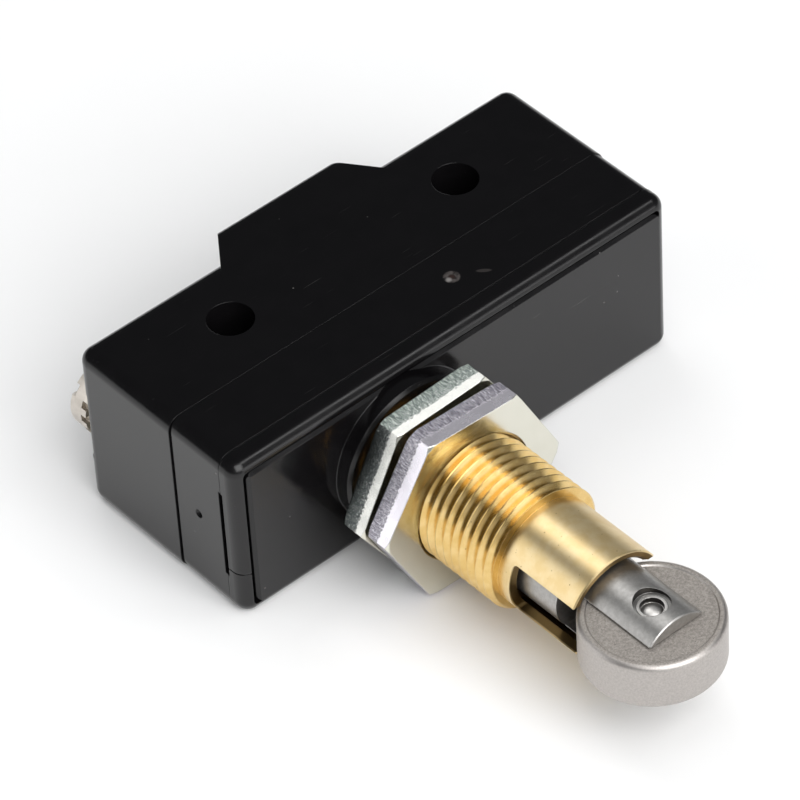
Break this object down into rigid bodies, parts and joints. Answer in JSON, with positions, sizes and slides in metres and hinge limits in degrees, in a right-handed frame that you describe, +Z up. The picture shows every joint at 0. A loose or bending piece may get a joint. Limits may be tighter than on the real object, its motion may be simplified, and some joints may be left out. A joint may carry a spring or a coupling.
{
  "type": "roller plunger limit switch",
  "caption": "Panel-mounted snap-action limit switch: black moulded body with mounting holes, threaded brass bushing with lock nuts, sprung plunger and roller.",
  "frame": {"origin": "midway between the axes of the two mounting holes, on the lower wide face", "axes": "+X along the body, -Y the way the plunger points, +Z up along the mounting holes"},
  "size_m": [0.049, 0.0641, 0.0174],
  "materials": {
    "housing": "black moulded phenolic, satin gloss",
    "brass": "turned brass",
    "zinc_plate": "zinc-plated stamped steel",
    "plunger_steel": "satin ground steel",
    "sintered_steel": "speckled sintered stainless steel",
    "spring_steel": "drawn spring wire",
    "guide_metal": "turned and nickel-plated",
    "button_plastic": "dark red phenolic",
    "blade_copper": "beryllium copper strip",
    "contact_silver": "silver contact",
    "terminal_brass": "brass strip",
    "screw_nickel": "nickel-plated steel"
  },
  "bodies": {
    "switch_body": {"base_case": "housing", "front_cover": "housing", "actuator_plate": "housing", "threaded_bushing": "brass", "guide_bush": "guide_metal", "return_spring": "spring_steel", "nc_contact": "contact_silver", "no_contact": "contact_silver", "com_terminal": "terminal_brass", "no_terminal": "terminal_brass", "nc_terminal": "terminal_brass", "terminal_screws": "screw_nickel", "toothed_washers": "screw_nickel"},
    "plunger": {"roller_plunger": "plunger_steel", "roller_pin": "plunger_steel", "overtravel_spring": "spring_steel"},
    "roller": {"roller": "sintered_steel"},
    "pusher": {"inner_pusher": "plunger_steel", "switch_button": "button_plastic"},
    "blade": {"snap_blade": "blade_copper", "moving_contact": "contact_silver"},
    "rear_nut": {"rear_lock_nut": "zinc_plate"},
    "front_nut": {"front_lock_nut": "zinc_plate"}
  },
  "joints": [
    {"name": "plunger_slide", "type": "slide", "parent": "switch_body", "child": "plunger", "axis": [0, 1, 0], "range_m": [0, 0.004], "stiffness_N_per_m": 800, "springref_m": -0.003, "deforming": ["return_spring", "overtravel_spring"]},
    {"name": "roller_spin", "type": "hinge", "parent": "plunger", "child": "roller", "pos_m": [-0.0064, -0.04514, 0.00873], "axis": [0, 0, 1], "continuous": true},
    {"name": "button_slide", "type": "slide", "parent": "switch_body", "child": "pusher", "axis": [0, 1, 0], "range_m": [0, 0.00041]},
    {"name": "blade_tilt", "type": "hinge", "parent": "switch_body", "child": "blade", "pos_m": [-0.0198, -0.0076, 0.00873], "axis": [0, 0, 1], "range_deg": [0, 1.75]},
    {"name": "rear_nut_turn", "type": "hinge", "parent": "switch_body", "child": "rear_nut", "pos_m": [-0.0064, -0.01885, 0.00873], "axis": [0, -1, 0], "continuous": true},
    {"name": "front_nut_turn", "type": "hinge", "parent": "switch_body", "child": "front_nut", "pos_m": [-0.0064, -0.02185, 0.00873], "axis": [0, -1, 0], "continuous": true}
  ],
  "couplings": [
    {"joint": "button_slide", "follows": "plunger_slide", "ratio": 0.1},
    {"joint": "blade_tilt", "follows": "plunger_slide", "rad_per_m": 7.4627}
  ]
}
